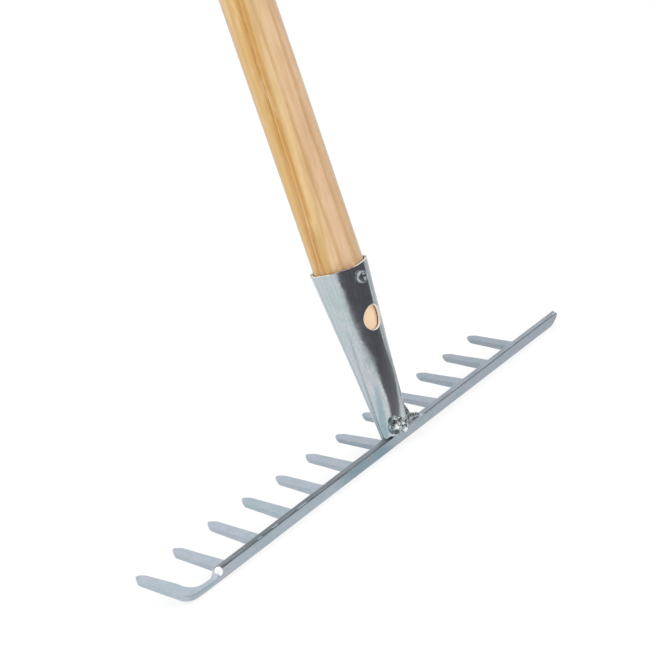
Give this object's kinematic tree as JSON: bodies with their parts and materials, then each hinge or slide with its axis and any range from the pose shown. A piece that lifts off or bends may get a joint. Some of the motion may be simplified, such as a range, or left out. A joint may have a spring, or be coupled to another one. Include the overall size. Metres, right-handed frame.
{
  "type": "garden rake",
  "caption": "Level-head garden rake: short flat pointed tines on a straight steel bar, one bent from the bar's end, and a tapered steel socket screwed to a long round wooden handle.",
  "frame": {"origin": "where the handle's axis meets the middle of the bar's underside", "axes": "+Z along the handle from the head to the grip, X along the bar, -Y the side the tines reach towards"},
  "size_m": [0.3553, 0.0507, 1.4006],
  "materials": {
    "zinc_steel": "zinc plated, satin, with faint streaks",
    "weld_metal": "bright lumpy weld metal",
    "screw_steel": "zinc plated, glossy",
    "handle_wood": "smooth, lightly varnished"
  },
  "bodies": {
    "root": {"rake_bar": "zinc_steel", "tine_02": "zinc_steel", "tine_03": "zinc_steel", "tine_04": "zinc_steel", "tine_05": "zinc_steel", "tine_06": "zinc_steel", "tine_07": "zinc_steel", "tine_08": "zinc_steel", "tine_09": "zinc_steel", "tine_10": "zinc_steel", "tine_11": "zinc_steel", "tine_12": "zinc_steel", "socket": "zinc_steel", "socket_weld": "weld_metal", "end_bead": "weld_metal", "socket_screw": "screw_steel", "handle": "handle_wood"}
  },
  "joints": []
}
